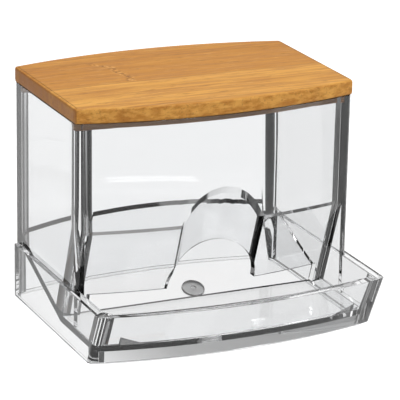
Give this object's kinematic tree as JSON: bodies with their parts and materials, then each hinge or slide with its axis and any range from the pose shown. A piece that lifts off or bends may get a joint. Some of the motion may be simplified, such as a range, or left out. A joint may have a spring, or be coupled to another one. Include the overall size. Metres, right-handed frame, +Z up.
{
  "type": "cotton swab dispenser",
  "caption": "Clear moulded countertop swab dispenser: bow-fronted hopper with a ramp, a finger scoop over a pick-up tray, and a lift-off bamboo lid.",
  "frame": {"origin": "centre of the footprint's bounding box, on the surface the dispenser stands on", "axes": "+Z up, +X along the width, -Y towards the front with the scoop and the tray"},
  "size_m": [0.125, 0.1142, 0.0996],
  "materials": {
    "clear_plastic": "crystal clear, polished",
    "bamboo": "sanded caramel bamboo with a thin satin oil"
  },
  "bodies": {
    "base": {"clear_body": "clear_plastic"},
    "lid": {"bamboo_lid": "bamboo"}
  },
  "joints": [
    {"name": "lid_lift", "type": "slide", "parent": "base", "child": "lid", "axis": [0, 0, 1], "range_m": [0, 0.06]}
  ]
}
